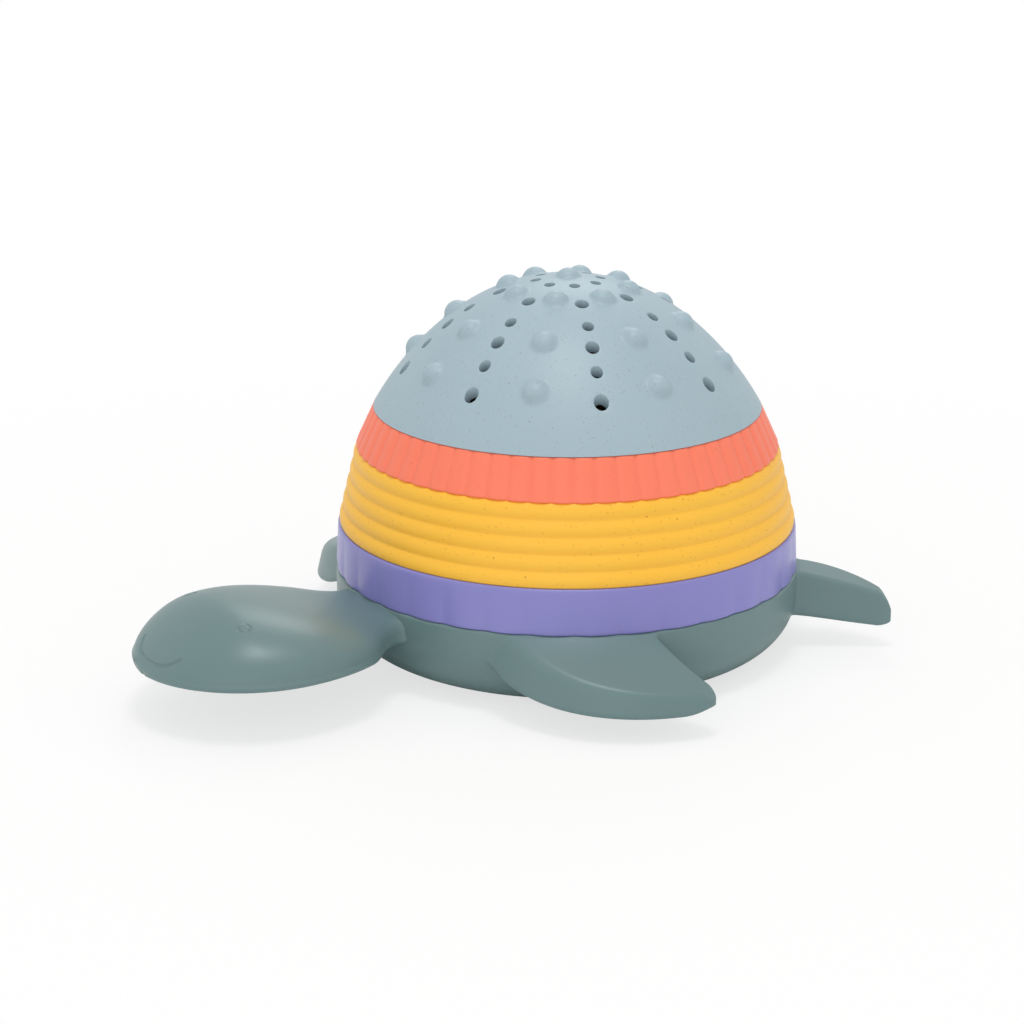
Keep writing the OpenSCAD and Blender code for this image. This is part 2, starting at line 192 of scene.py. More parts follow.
# The section of a ring: leaning wall, ledge, and the collar that enters the bore of the piece above
def ringCorners(low, high, footR, topR, boreR, boreTopR):
    slope = (footR - topR) / (high - low)
    level = stack["wall"] * math.hypot(1, slope)
    ledgeZ = high - stack["ledge"]
    seat = boreR - stack["gap"]
    seatTop = boreTopR - stack["gap"]
    collarTop = high + stack["collarHeight"]
    return [
        (footR - level, low), (footR, low), (topR, high), (seat, high), (seatTop, collarTop),
        (seatTop - stack["collarWall"], collarTop), (seat - stack["collarWall"], ledgeZ),
        (footR - level - slope * (ledgeZ - low), ledgeZ),
    ]


# Moves the points of a ring's outer wall in by what the texture asks for, fading out across the ledge
def pressWall(bm, low, high, footR, topR, inset):
    slope = (footR - topR) / (high - low)
    for v in bm.verts:
        r, z = math.hypot(v.co.x, v.co.y) / mm, v.co.z / mm
        deep = max(0.0, footR - slope * (z - low) - r)
        if deep < stack["pressZone"] and low - stack["heightSlack"] <= z <= high + stack["heightSlack"]:
            share = 1 - deep / stack["pressZone"]
            k = (r - share * inset(math.atan2(v.co.y, v.co.x), z - low)) / r
            v.co.x *= k
            v.co.y *= k


# Lilac ring: broad upright lobes that fade towards its top
lilac = {
    "lobes": 34, "depth": 0.5, "fadeHeight": 13.0, "stepsPerLobe": 12, "span": 1.2, "sharpAngle": 40,
    "rounding": [0.3, 0.6, 0.6, 0.3, 0.4, 0.4, 0.3, 0.4],
}
lilacPlastic = fibreFilledPlastic({
    "name": "fibreFilledPlasticLilac", "deep": "8682C6", "pale": "8E8CCE", "rough": 0.3, "grain": 0.25,
    "specks": [(1.1, 0.25, 0.1, "6F69AE"), (2.8, 0.1, 0.2, "5B5390")]})


def lilacInset(angle, height):
    turn = angle / (2 * math.pi) * lilac["lobes"]
    across = 2 * (turn - round(turn))
    return lilac["depth"] * across * across * max(0.0, 1 - height / lilac["fadeHeight"])


yellowSlope = (stack["lilacTopR"] - stack["yellowTopR"]) / (stack["yellowTop"] - stack["lilacTop"])
lilacBore = stack["lilacTopR"] - stack["wall"] * math.hypot(1, yellowSlope)
bm = turned(ringCorners(stack["baseTop"], stack["lilacTop"], stack["rimR"], stack["lilacTopR"],
                        lilacBore, lilacBore - yellowSlope * stack["collarHeight"]),
            lilac["rounding"], lilac["lobes"] * lilac["stepsPerLobe"], lilac["span"])
pressWall(bm, stack["baseTop"], stack["lilacTop"], stack["rimR"], stack["lilacTopR"], lilacInset)
newPiece(bm, "lilacLobedRing", lilacPlastic, "lilac", "lilac_ring", lilac["sharpAngle"])

# Yellow ring: level bands with rounded fronts
yellow = {
    "bands": 5, "depth": 0.6, "steps": 240, "span": 0.3, "sharpAngle": 55,
    "rounding": [0.3, 0.4, 0.5, 0.3, 0.4, 0.4, 0.3, 0.4],
}
yellowPlastic = fibreFilledPlastic({
    "name": "fibreFilledPlasticYellow", "deep": "FFBE34", "pale": "FFC640", "rough": 0.46, "grain": 0.3,
    "specks": [(1.1, 0.28, 0.35, "C98A2E"), (2.4, 0.13, 0.6, "A8642A")]})


def yellowInset(angle, height):
    place = height / (stack["yellowTop"] - stack["lilacTop"]) * yellow["bands"]
    across = 2 * (place - math.floor(place)) - 1
    return yellow["depth"] * across * across


coralSlope = (stack["yellowTopR"] - stack["coralTopR"]) / (stack["coralTop"] - stack["yellowTop"])
yellowBore = stack["yellowTopR"] - stack["wall"] * math.hypot(1, coralSlope)
bm = turned(ringCorners(stack["lilacTop"], stack["yellowTop"], stack["lilacTopR"], stack["yellowTopR"],
                        yellowBore, yellowBore - coralSlope * stack["collarHeight"]),
            yellow["rounding"], yellow["steps"], yellow["span"])
pressWall(bm, stack["lilacTop"], stack["yellowTop"], stack["lilacTopR"], stack["yellowTopR"], yellowInset)
newPiece(bm, "yellowBandedRing", yellowPlastic, "yellow", "yellow_ring", yellow["sharpAngle"])

# Dome profile: a crown arc that passes into a flank arc, which ends on the coral ring
dome = {
    "apex": 92.1, "crownR": 46.5, "crownLean": 52.0, "steps": 352, "below": 3.0, "seam": 0.12,
    "bumpReach": [15.0, 28.4, 38.5], "bumpWidth": 6.2, "bumpHeight": 2.0, "bumpBlend": 0.3, "lines": 8,
    "holeReach": [8.0, 16.9, 24.3, 29.6, 34.8, 40.2], "holeWidth": [2.7, 3.4, 2.9, 3.4, 3.0, 3.6],
    "holeEdge": 0.25, "holeEdgeSegments": 2, "holeSlack": 0.1, "boreLean": 0.36, "boreBlend": 4.0,
    "rowNear": 0.4, "rowFar": 0.6, "nearReach": 12.0, "liftReach": 1.25, "liftFade": 0.5,
    "rimAngle": 50, "cutSlack": 0.001, "sharpAngle": 50,
}
domePlastic = fibreFilledPlastic({
    "name": "fibreFilledPlasticBlueGrey", "deep": "9FB4BE", "pale": "A7BCC5", "rough": 0.45, "grain": 0.3,
    "specks": [(0.9, 0.32, 0.3, "7F939B"), (0.5, 0.35, 0.18, "8FA5AE"), (1.8, 0.15, 0.5, "7A6A58")]})
crownZ = dome["apex"] - dome["crownR"]
crownSweep = math.radians(90 - dome["crownLean"])
leanDir = Vector((math.sin(crownSweep), math.sin(math.radians(dome["crownLean"]))))
crownEnd = Vector((0, crownZ)) + dome["crownR"] * leanDir
toFoot = Vector((stack["coralTopR"], stack["coralTop"])) - crownEnd
flankR = -toFoot.length_squared / (2 * toFoot.dot(leanDir))
flankC = crownEnd - flankR * leanDir


# radius of the dome's inside at a height on the flank
def domeBore(z):
    return flankC.x + math.sqrt((flankR - stack["wall"]) ** 2 - (z - flankC.y) ** 2)


def domeNormal(r):
    lean = r / dome["crownR"] if r < crownEnd.x else (r - flankC.x) / flankR
    return Vector((lean, 0, math.sqrt(1 - lean * lean)))


# the point of the outer face at a distance from the axis, and the face's normal there
def onDome(r, angle):
    n = domeNormal(r)
    centre, radius = ((0, crownZ), dome["crownR"]) if r < crownEnd.x else (flankC, flankR)
    p = Vector((centre[0] + radius * n.x, 0, centre[1] + radius * n.z))
    spin = Matrix.Rotation(angle, 3, "Z")
    return spin @ p * mm, spin @ n


# Coral ring: narrow upright pleats. Its collar follows the inside of the dome.
coral = {
    "pleats": 62, "depth": 0.5, "roundness": 3.2, "stepsPerPleat": 10, "span": 1.2, "sharpAngle": 60,
    "rounding": [0.3, 0.5, 0.5, 0.3, 0.4, 0.4, 0.3, 0.4],
}
coralPlastic = fibreFilledPlastic({
    "name": "fibreFilledPlasticCoral", "deep": "FF7A5C", "pale": "FF8668", "rough": 0.42, "grain": 0.25,
    "specks": [(1.1, 0.25, 0.18, "D9583F"), (2.6, 0.12, 0.35, "B5523E")]})


def coralInset(angle, height):
    turn = angle / (2 * math.pi) * coral["pleats"] - 0.5
    across = abs(2 * (turn - round(turn)))
    return coral["depth"] * across ** coral["roundness"]


bm = turned(ringCorners(stack["yellowTop"], stack["coralTop"], stack["yellowTopR"], stack["coralTopR"],
                        domeBore(stack["coralTop"]), domeBore(stack["coralTop"] + stack["collarHeight"])),
            coral["rounding"], coral["pleats"] * coral["stepsPerPleat"], coral["span"])
pressWall(bm, stack["yellowTop"], stack["coralTop"], stack["yellowTopR"], stack["coralTopR"], coralInset)
newPiece(bm, "coralPleatedRing", coralPlastic, "coral", "coral_ring", coral["sharpAngle"])

# Dome: the outer face is spun, the bumps are raised, the holes are opened and the wall gets its thickness
bm = bmesh.new()
rows = []
sweep = 0.0
while True:
    if sweep < crownSweep:
        p = Vector((dome["crownR"] * math.sin(sweep), crownZ + dome["crownR"] * math.cos(sweep)))
        radius = dome["crownR"]
    else:
        p = Vector((flankC.x + flankR * math.sin(sweep), flankC.y + flankR * math.cos(sweep)))
        radius = flankR
    rows.append(bm.verts.new((p.x * mm, 0, p.y * mm)))
    if p.y < stack["coralTop"] - dome["below"]:
        break
    sweep += dome["rowNear" if p.x < dome["nearReach"] else "rowFar"] / radius
for pair in zip(rows, rows[1:]):
    bm.edges.new(pair)
bm = spun(bm, dome["steps"])
if max(bm.faces, key=lambda f: f.calc_center_median().z).normal.z < 0:
    bmesh.ops.reverse_faces(bm, faces=bm.faces)

bumpPlaces = [onDome(0.0, 0.0)]
holePlaces = []
for line in range(dome["lines"]):
    bumpAngle = line * 2 * math.pi / dome["lines"]
    holeAngle = bumpAngle + math.pi / dome["lines"]
    bumpPlaces += [onDome(r, bumpAngle) for r in dome["bumpReach"]]
    for reach, width in zip(dome["holeReach"], dome["holeWidth"]):
        place, normal = onDome(reach, holeAngle)
        across = Vector((-math.sin(holeAngle), math.cos(holeAngle), 0))
        lean = math.acos(normal.z) * (1 - dome["boreLean"])
        holePlaces.append({"at": place, "normal": normal, "across": across, "uphill": normal.cross(across),
                           "lean": lean, "radius": width / 2 * mm})
bm.verts.ensure_lookup_table()
pointTree = KDTree(len(bm.verts))
for v in bm.verts:
    pointTree.insert(v.co, v.index)
pointTree.balance()
capR = (dome["bumpWidth"] ** 2 / 4 + dome["bumpHeight"] ** 2) / (2 * dome["bumpHeight"])
liftReach = dome["liftReach"] * capR


# height of a round cap that runs softly into the face around it
def bumpLift(distance):
    cap = math.sqrt(max(0.0, capR ** 2 - distance ** 2)) - capR + dome["bumpHeight"]
    soft = (cap + math.hypot(cap, dome["bumpBlend"])) / 2
    return soft * ease((liftReach - distance) / (dome["liftFade"] * capR))


lifts = {}
for place, normal in bumpPlaces:
    for co, index, distance in pointTree.find_range(place, liftReach * mm):
        lifts[index] = normal * bumpLift(distance / mm) * mm
# each hole: faces inside the circle go, and the points left on its border are drawn onto the circle
bm.faces.ensure_lookup_table()
faceTree = KDTree(len(bm.faces))
for f in bm.faces:
    faceTree.insert(f.calc_center_median(), f.index)
faceTree.balance()


# a point's place on the face round a hole, where the hole's outline is a circle of radius 1
def onHole(hole, co):
    flat = co - hole["at"]
    uphill = flat.dot(hole["uphill"]) * math.cos(hole["lean"])
    return Vector((flat.dot(hole["across"]), uphill)) / hole["radius"]


gone = []
borders = []
for hole in holePlaces:
    reach = hole["radius"] / math.cos(hole["lean"]) + dome["holeSlack"] * mm
    inside = [bm.faces[index] for co, index, distance in faceTree.find_range(hole["at"], reach)
              if onHole(hole, co).length < 1]
    chosen = set(inside)
    border = {v for f in inside for v in f.verts if any(g not in chosen for g in v.link_faces)}
    borders.append((hole, border))
    gone += inside
for index, lift in lifts.items():
    bm.verts[index].co += lift
for hole, border in borders:
    for v in border:
        spot = onHole(hole, v.co).normalized() * hole["radius"]
        v.co = (hole["at"] + hole["across"] * spot.x + hole["uphill"] * spot.y / math.cos(hole["lean"])
                + hole["normal"] * (v.co - hole["at"]).dot(hole["normal"]))
bmesh.ops.delete(bm, geom=list(dict.fromkeys(gone)), context="FACES")
bmesh.ops.solidify(bm, geom=list(bm.faces), thickness=stack["wall"] * mm)
# the bores follow the mould's upright draw more than the face, so their inner ends lie further down the wall
for hole in holePlaces:
    inner = hole["at"] - hole["normal"] * stack["wall"] * mm
    shift = -hole["uphill"] * stack["wall"] * mm * math.tan(hole["lean"])
    for v in bm.verts:
        away = (v.co - inner).length - hole["radius"] / math.cos(hole["lean"])
        if away < dome["boreBlend"] * mm and (v.co - inner).dot(hole["normal"]) < stack["wall"] / 2 * mm:
            v.co += shift * ease(1 - max(0.0, away) / (dome["boreBlend"] * mm))
foot = Vector((0, 0, (stack["coralTop"] + dome["seam"]) * mm))
cut = bmesh.ops.bisect_plane(bm, geom=list(bm.verts) + list(bm.edges) + list(bm.faces), plane_co=foot,
                             plane_no=(0, 0, -1), dist=dome["cutSlack"] * mm, clear_outer=True)
footEdges = [g for g in cut["geom_cut"] if isinstance(g, bmesh.types.BMEdge)]
bmesh.ops.bridge_loops(bm, edges=footEdges)
mended(bm)
rims = [e for e in bm.edges if e.is_manifold and e.calc_face_angle() > math.radians(dome["rimAngle"])]
bmesh.ops.bevel(bm, geom=rims, offset=dome["holeEdge"] * mm, segments=dome["holeEdgeSegments"], profile=0.5,
                affect="EDGES", material=-1, clamp_overlap=True)
newPiece(bm, "blueGreyDome", domePlastic, "dome", "dome_cap", dome["sharpAngle"])

# Base: bowl, head and flippers in one moulding
basePlastic = fibreFilledPlastic({
    "name": "fibreFilledPlasticGreyGreen", "deep": "678182", "pale": "6F898A", "rough": 0.36, "grain": 0.25,
    "specks": [(1.0, 0.28, 0.1, "5E7374"), (2.6, 0.1, 0.18, "55605A")]})
bowl = {
    "cornerR": 12.2, "keelR": 62.0, "footR": 35.5, "floor": 2.6, "floorRun": 1.0, "round": 0.7,
    "steps": 256, "keelSteps": 12, "cornerSteps": 20, "roundSteps": 4, "sharpAngle": 50,
}
# centre of the bilge's arc, which touches the keel's arc inside
bilgeR = stack["rimR"] - bowl["cornerR"]
bilgeZ = bowl["keelR"] - math.sqrt((bowl["keelR"] - bowl["cornerR"]) ** 2 - (bilgeR - bowl["footR"]) ** 2)


def bowlProfile():
    turn = math.asin((bilgeR - bowl["footR"]) / (bowl["keelR"] - bowl["cornerR"]))

    def side(inset):
        keelR, cornerR = bowl["keelR"] - inset, bowl["cornerR"] - inset
        turns = [turn * k / bowl["keelSteps"] for k in range(bowl["keelSteps"] + 1)]
        keel = [(bowl["footR"] + keelR * math.sin(a), bowl["keelR"] - keelR * math.cos(a)) for a in turns]
        turns = [mix(turn, math.pi / 2, k / bowl["cornerSteps"]) for k in range(1, bowl["cornerSteps"] + 1)]
        return keel + [(bilgeR + cornerR * math.sin(a), bilgeZ - cornerR * math.cos(a)) for a in turns]

    # a quarter round at an upper corner of the section
    def corner(r, z, outward):
        soft = bowl["round"]
        turns = [math.pi / 2 * k / bowl["roundSteps"] for k in range(bowl["roundSteps"] + 1)]
        arc = [(r - outward * soft * (1 - math.cos(a)), z - soft * (1 - math.sin(a))) for a in turns]
        return arc if outward > 0 else arc[::-1]

    lilacSlope = (stack["rimR"] - stack["lilacTopR"]) / (stack["lilacTop"] - stack["baseTop"])
    collarR = stack["rimR"] - stack["wall"] * math.hypot(1, lilacSlope) - stack["gap"]
    collarTopR = collarR - lilacSlope * stack["collarHeight"]
    mouthR = collarR - stack["collarWall"]
    top, collarTop = stack["baseTop"], stack["baseTop"] + stack["collarHeight"]
    outer = [(0.0, 0.0)] + side(0) + corner(stack["rimR"], top, 1)
    collar = [(collarR, top)] + corner(collarTopR, collarTop, 1)
    collar += corner(collarTopR - stack["collarWall"], collarTop, -1) + [(mouthR, top)]
    inner = [(r, z) for r, z in reversed(side(stack["wall"])) if z > bowl["floor"] and r < mouthR]
    return outer + collar + inner + [(inner[-1][0] - bowl["floorRun"], bowl["floor"]), (0.0, bowl["floor"])]


bm = bmesh.new()
line = [bm.verts.new((r * mm, 0, z * mm)) for r, z in bowlProfile()]
for pair in zip(line, line[1:]):
    bm.edges.new(pair)
spun(bm, bowl["steps"])


# how far a face has turned down at a distance from its end, where the end has the given radius
def edgeDrop(distance, radius):
    return radius - math.sqrt(max(0.0, radius ** 2 - max(0.0, radius - distance) ** 2))


# a closed loop of edges through the points
def sectionLoop(bm, points):
    made = bmesh.ops.create_circle(bm, cap_ends=False, radius=1.0, segments=len(points))["verts"]
    for v, p in zip(made, points):
        v.co = Vector(p) * mm
    return list(dict.fromkeys(e for v in made for e in v.link_edges))


# a closed skin over a row of loops
def skinned(bm, loops):
    for a, b in zip(loops, loops[1:]):
        bmesh.ops.bridge_loops(bm, edges=a + b)
    for end in (loops[0], loops[-1]):
        bmesh.ops.edgeloop_fill(bm, edges=end)


# Head: a flat-bottomed half oval, swept from the snout to the neck, with a fine lip along its lower edge
# and a neck that runs out into the bowl's wall
head = {
    "reach": 116.0, "broadest": 87.0, "back": 35.0, "width": 55.2, "low": 14.0, "height": 12.7,
    "crownReach": 96.0, "neckWidth": 29.8, "neckStart": 69.0, "neckEnd": 54.0, "bendStart": 78.0,
    "squareStart": 98.0, "rootSquare": 3.3, "rootDrop": 0.2, "flare": 0.25, "flareZone": 2.4, "flarePower": 3,
    "edge": 1.3, "edgeShare": 1 / 3, "browPower": 1.7, "browFall": 0.85, "lip": 0.3, "lipHeight": 0.8,
    "around": 112, "crowding": 0.38, "slopeStep": 0.05, "widthRounds": 4,
    "snoutAngles": range(3, 90, 2), "backSteps": 22, "neckSteps": 10, "flareSteps": 12, "flareCrowding": 1.3,
}
headX, neckX = -head["broadest"], -head["neckStart"]
headFront = head["reach"] - head["broadest"]


# the plan is an egg with its blunt end at the snout, which runs into a narrower neck
def headHalfWidth(x):
    share = (x - headX) / (headFront if x < headX else head["back"])
    egg = head["width"] / 2 * math.sqrt(max(0.0, 1 - share ** 2))
    return mix(egg, head["neckWidth"] / 2, ease((x - neckX) / (head["neckStart"] - head["neckEnd"])))


def headHeight(x):
    if x < -head["crownReach"]:
        t = min(1.0, (-head["crownReach"] - x) / (head["reach"] - head["crownReach"]))
        return head["height"] * (1 - t ** head["browPower"]) ** head["browFall"]
    neckTop = stack["baseTop"] - head["rootDrop"] - head["low"]
    return mix(head["height"], neckTop, ease((x + head["crownReach"]) / (head["crownReach"] - stack["rimR"])))


def headTop(x, y):
    w = max(0.01, headHalfWidth(x))
    return head["low"] + headHeight(x) * math.sqrt(max(0.0, 1 - (y / w) ** 2))


# A section of the head at a distance from the stack's axis. The nearer the bowl, the more it bends round it.
def headSection(reach):
    bend = ease((head["bendStart"] - reach) / (head["bendStart"] - stack["rimR"] - head["flareZone"]))
    square = ease((head["squareStart"] - reach) / (head["squareStart"] - stack["rimR"]))

    def along(y):
        return -reach + bend * (reach - math.sqrt(max(0.0, reach ** 2 - y ** 2)))

    bare = headHalfWidth(-reach)
    for i in range(head["widthRounds"]):
        bare = headHalfWidth(along(bare))
    side = along(bare)
    out = math.hypot(side, bare) - stack["rimR"]
    w = bare + head["flare"] * max(0.0, 1 - max(0.0, out) / head["flareZone"]) ** head["flarePower"]
    step = head["slopeStep"]
    slope = (headHalfWidth(side + step) - headHalfWidth(side - step)) / (2 * step)
    normal = Vector((-slope, 1)).normalized()
    edge = min(head["edge"], w * head["edgeShare"])
    power = 2 / mix(2, head["rootSquare"], square)
    points = []
    for k in range(head["around"]):
        a = 2 * math.pi * k / head["around"]
        a -= head["crowding"] * math.sin(2 * a) * (1 - bend)
        y = w * math.copysign(abs(math.cos(a)) ** power, math.cos(a))
        x = along(y)
        if math.sin(a) >= 0:
            z = headHeight(x) * math.sin(a) ** power
            lip = head["lip"] * ease(1 - z / head["lipHeight"])
        else:
            z = -head["edge"] + edgeDrop(w - abs(y), edge) * head["edge"] / edge
            lip = head["lip"] * abs(math.cos(a))
        points.append((x + lip * normal.x, y + math.copysign(lip * normal.y, y), head["low"] + z))
    return points


reaches = [-headX + headFront * math.cos(math.radians(a)) for a in head["snoutAngles"]]
reaches += [mix(head["broadest"], head["neckStart"], k / head["backSteps"]) for k in range(head["backSteps"])]
flareStart = stack["rimR"] + head["flareZone"]
reaches += [mix(head["neckStart"], flareStart, k / head["neckSteps"]) for k in range(head["neckSteps"] + 1)]
reaches += [stack["rimR"] + head["flareZone"] * (1 - k / head["flareSteps"]) ** head["flareCrowding"]
            for k in range(1, head["flareSteps"] + 1)]
reaches.append(stack["inWall"])
skinned(bm, [sectionLoop(bm, headSection(r)) for r in reaches])

# Flippers: edges as an angle from the head and a distance beyond the rim. Between them lie sections with a
# level top, a rounded ridge along the leading edge, a leaning side under it and a crisp trailing edge.
flippers = {
    "front": {
        "lead": [(38, 0), (47, 10), (62, 24), (81.5, 19)], "trail": [(77, 0), (79, 5), (81.5, 10), (83.8, 16)],
        "lowRoot": 12.0, "lowTip": 6.0, "lowFall": 3.4, "ridgeTip": 10.6, "ridgeFall": 1.5, "trailTip": 10.0,
        "trailFall": 1.3, "ridge": 2.6, "leanRoot": 5.0, "leanTip": 2.2, "end": 0.92,
        "capHeight": 0.15, "capLevel": 0.45},
    "rear": {
        "lead": [(136.2, 0), (138.6, 6.5), (138.6, 14), (139.6, 24.4)],
        "trail": [(148, 0), (149.6, 8), (146.2, 15.5), (140.8, 24.2)],
        "lowRoot": 8.6, "lowTip": 5.4, "lowFall": 1.1, "ridgeTip": 12.0, "ridgeFall": 0.6, "trailTip": 12.0,
        "trailFall": 0.58, "ridge": 1.3, "leanRoot": 1.0, "leanTip": 0.8, "end": 0.86,
        "capHeight": 0.3, "capLevel": 0.2},
    "edge": 1.1, "trailEdge": 0.5, "rootRound": 1.3, "rootZone": 4.0, "leanZone": 0.6,
    "leanShare": 0.3, "ridgeShare": 0.4, "ridgeDepth": 0.5, "edgeShare": 0.2, "edgeDepth": 0.25,
    "stations": 40, "rootCrowding": 1.6, "capSteps": 12, "capStop": 0.4, "capPower": 1.5, "tipStep": 0.01,
    "topSteps": 17, "ridgeSteps": 9, "sideSteps": 6, "edgeSteps": 5, "underSteps": 8,
    "backEdgeSteps": 4, "backSteps": 5, "trailEdgeSteps": 3,
}


# a point on an edge's curve, in plan
def edgePoint(points, t):
    places = [Vector((-math.cos(math.radians(a)), math.sin(math.radians(a)))) * (stack["rimR"] + d)
              for a, d in points]
    return ((1 - t) ** 3 * places[0] + 3 * t * (1 - t) ** 2 * places[1]
            + 3 * t * t * (1 - t) * places[2] + t ** 3 * places[3])


# The rounded tip: a curve from one edge's end to the other's, through the corner where they would meet
def tipPoint(f, v):
    t, step = f["end"], flippers["tipStep"]
    ends = [edgePoint(f[key], t) for key in ("lead", "trail")]
    ways = [(edgePoint(f[key], t) - edgePoint(f[key], t - step)).normalized() for key in ("lead", "trail")]
    gap = ends[1] - ends[0]
    corner = ends[0] + ways[0] * gap.cross(ways[1]) / ways[0].cross(ways[1])
    return (1 - v) ** 2 * ends[0] + 2 * v * (1 - v) * corner + v * v * ends[1]


# an edge point's angle and radius, where the angle opens out into the bowl's wall
def asTurn(p, away):
    flare = edgeDrop(max(0.0, p.length - stack["rimR"]), flippers["rootRound"])
    return math.atan2(p.y, -p.x) + away * flare / p.length, p.length


# angles over a quarter turn, with both ends
def quarter(start, steps):
    return [math.radians(start + 90 * k / steps) for k in range(steps + 1)]


# shares of a stretch without its ends
def shares(key):
    return [k / flippers[key] for k in range(1, flippers[key])]


# the bowl's outer radius at a height
def wallAt(z):
    return bilgeR + math.sqrt(max(0.0, bowl["cornerR"] ** 2 - max(0.0, bilgeZ - z) ** 2))


# A section of a flipper at a share of its length. The root's section lies at a given radius in the wall. cap
# runs from 0 at the last full section to 1 at the middle of the rounded tip.
def flipperSection(f, t, side, radius=None, cap=0.0):
    if cap:
        v = math.sin(math.pi / 2 * cap) / 2
        lead, trail = tipPoint(f, v), tipPoint(f, 1 - v)
    else:
        lead, trail = edgePoint(f["lead"], t), edgePoint(f["trail"], t)
    (leadTurn, leadR), (trailTurn, trailR) = asTurn(lead, -1), asTurn(trail, 1)
    if radius:
        leadR = trailR = radius
    chord = math.hypot(leadR - trailR, (trailTurn - leadTurn) * (leadR + trailR) / 2)
    tipReach = max(f["lead"][3][1], f["trail"][3][1])
    root = stack["baseTop"] - head["rootDrop"]
    low = f["lowTip"] + (f["lowRoot"] - f["lowTip"]) * (1 - t) ** f["lowFall"]
    out = min(1.0, max(0.0, trailR - stack["rimR"]) / tipReach)
    ridgeZ = f["ridgeTip"] + (root - f["ridgeTip"]) * (1 - t) ** f["ridgeFall"]
    trailZ = f["trailTip"] + (root - f["trailTip"]) * (1 - out) ** f["trailFall"]
    lean = min(mix(f["leanRoot"], f["leanTip"], ease(t / flippers["leanZone"])),
               chord * flippers["leanShare"])
    ridge = min(f["ridge"], (chord - lean) * flippers["ridgeShare"], (ridgeZ - low) * flippers["ridgeDepth"])
    edge = min(flippers["edge"], chord * flippers["edgeShare"], (ridgeZ - low) * flippers["edgeDepth"])
    trailEdge = min(flippers["trailEdge"], chord * flippers["edgeShare"])

    def top(s):
        return mix(ridgeZ, trailZ, (s - lean) / (chord - lean))

    peak = Vector((lean, ridgeZ))
    onTop = Vector((lean + ridge, top(lean + ridge)))
    foot = Vector((0.0, low + edge))
    onSide = peak + (foot - peak).normalized() * ridge
    # round the section: top, ridge, leaning side, lower edge, underside, lower edge, back, trailing edge
    outline = [(s, top(s)) for s in (mix(chord - trailEdge, onTop.x, k / flippers["topSteps"])
                                     for k in range(flippers["topSteps"] + 1))]
    for w in shares("ridgeSteps") + [1.0]:
        outline.append(tuple((1 - w) ** 2 * onTop + 2 * w * (1 - w) * peak + w * w * onSide))
    outline += [tuple(onSide.lerp(foot, w)) for w in shares("sideSteps")]
    outline += [(edge * (1 + math.cos(a)), low + edge * (1 + math.sin(a)))
                for a in quarter(180, flippers["edgeSteps"])]
    outline += [(mix(edge, chord - edge, w), low) for w in shares("underSteps")]
    outline += [(chord - edge * (1 - math.cos(a)), low + edge * (1 + math.sin(a)))
                for a in quarter(270, flippers["backEdgeSteps"])]
    trailTop = trailZ - trailEdge
    outline += [(chord, mix(low + edge, trailTop, w)) for w in shares("backSteps")]
    outline += [(chord - trailEdge * (1 - math.cos(a)), trailTop + trailEdge * math.sin(a))
                for a in quarter(0, flippers["trailEdgeSteps"])[:-1]]
    along = 1 - (1 - math.sin(math.pi / 2 * cap)) ** 2
    drop = mix(f["capHeight"], 1.0, (1 - along ** flippers["capPower"]) ** (1 / flippers["capPower"]))
    level = mix(low, ridgeZ, f["capLevel"])
    points = []
    for s, z in outline:
        turn, r = mix(leadTurn, trailTurn, s / chord), mix(leadR, trailR, s / chord)
        z = mix(level, z, drop)
        near = ease(1 - (r - stack["rimR"]) / flippers["rootZone"])
        r -= (stack["rimR"] - wallAt(z)) * near
        points.append((-r * math.cos(turn), side * r * math.sin(turn), z))
    return points


for kind in ("front", "rear"):
    for side in (-1, 1):
        f = flippers[kind]
        sections = [flipperSection(f, 0.0, side, radius=stack["inWall"])]
        sections += [flipperSection(f, f["end"] * (k / flippers["stations"]) ** flippers["rootCrowding"], side)
                     for k in range(flippers["stations"] + 1)]
        sections += [flipperSection(f, f["end"], side, cap=k / (flippers["capSteps"] + flippers["capStop"]))
                     for k in range(1, flippers["capSteps"] + 1)]
        skinned(bm, [sectionLoop(bm, points) for points in sections])
mended(bm)


# Face: rings for the eyes and a smile, pressed into the finer skin around them
face = {
    "eye": (97.0, 14.0), "eyeWidth": 2.8, "eyeLine": 0.7, "eyeDepth": 0.26,
    "smileWidth": 18.6, "smileRise": 1.9, "smileLift": 2.4, "smilePower": 4, "smileLine": 1.1,
    "smileDepth": 0.35, "smileSteps": 40, "halvings": 20,
    "reach": 90.0, "fineZone": 2.2, "fineEdge": 0.2, "lineCuts": 7,
}


# a point of the smile: its place across is given, and its place along is found by halving
def smilePoint(t):
    y = t * face["smileWidth"] / 2
    z = head["low"] + face["smileRise"] + face["smileLift"] * t ** face["smilePower"]
    outer, inner = -head["reach"], -head["crownReach"]
    for i in range(face["halvings"]):
        x = (outer + inner) / 2
        outer, inner = (x, inner) if headTop(x, y) < z else (outer, x)
    return Vector((x, y, z)) * mm


smile = [smilePoint(k / face["smileSteps"]) for k in range(-face["smileSteps"], face["smileSteps"] + 1)]
eyeReach, eyeSide = face["eye"]
eyes = [Vector((-eyeReach, side * eyeSide, headTop(-eyeReach, eyeSide))) * mm for side in (-1, 1)]


def lineDistances(co):
    return (min((co - p).length for p in smile),
            min(abs((co - p).length - face["eyeWidth"] / 2 * mm) for p in eyes))


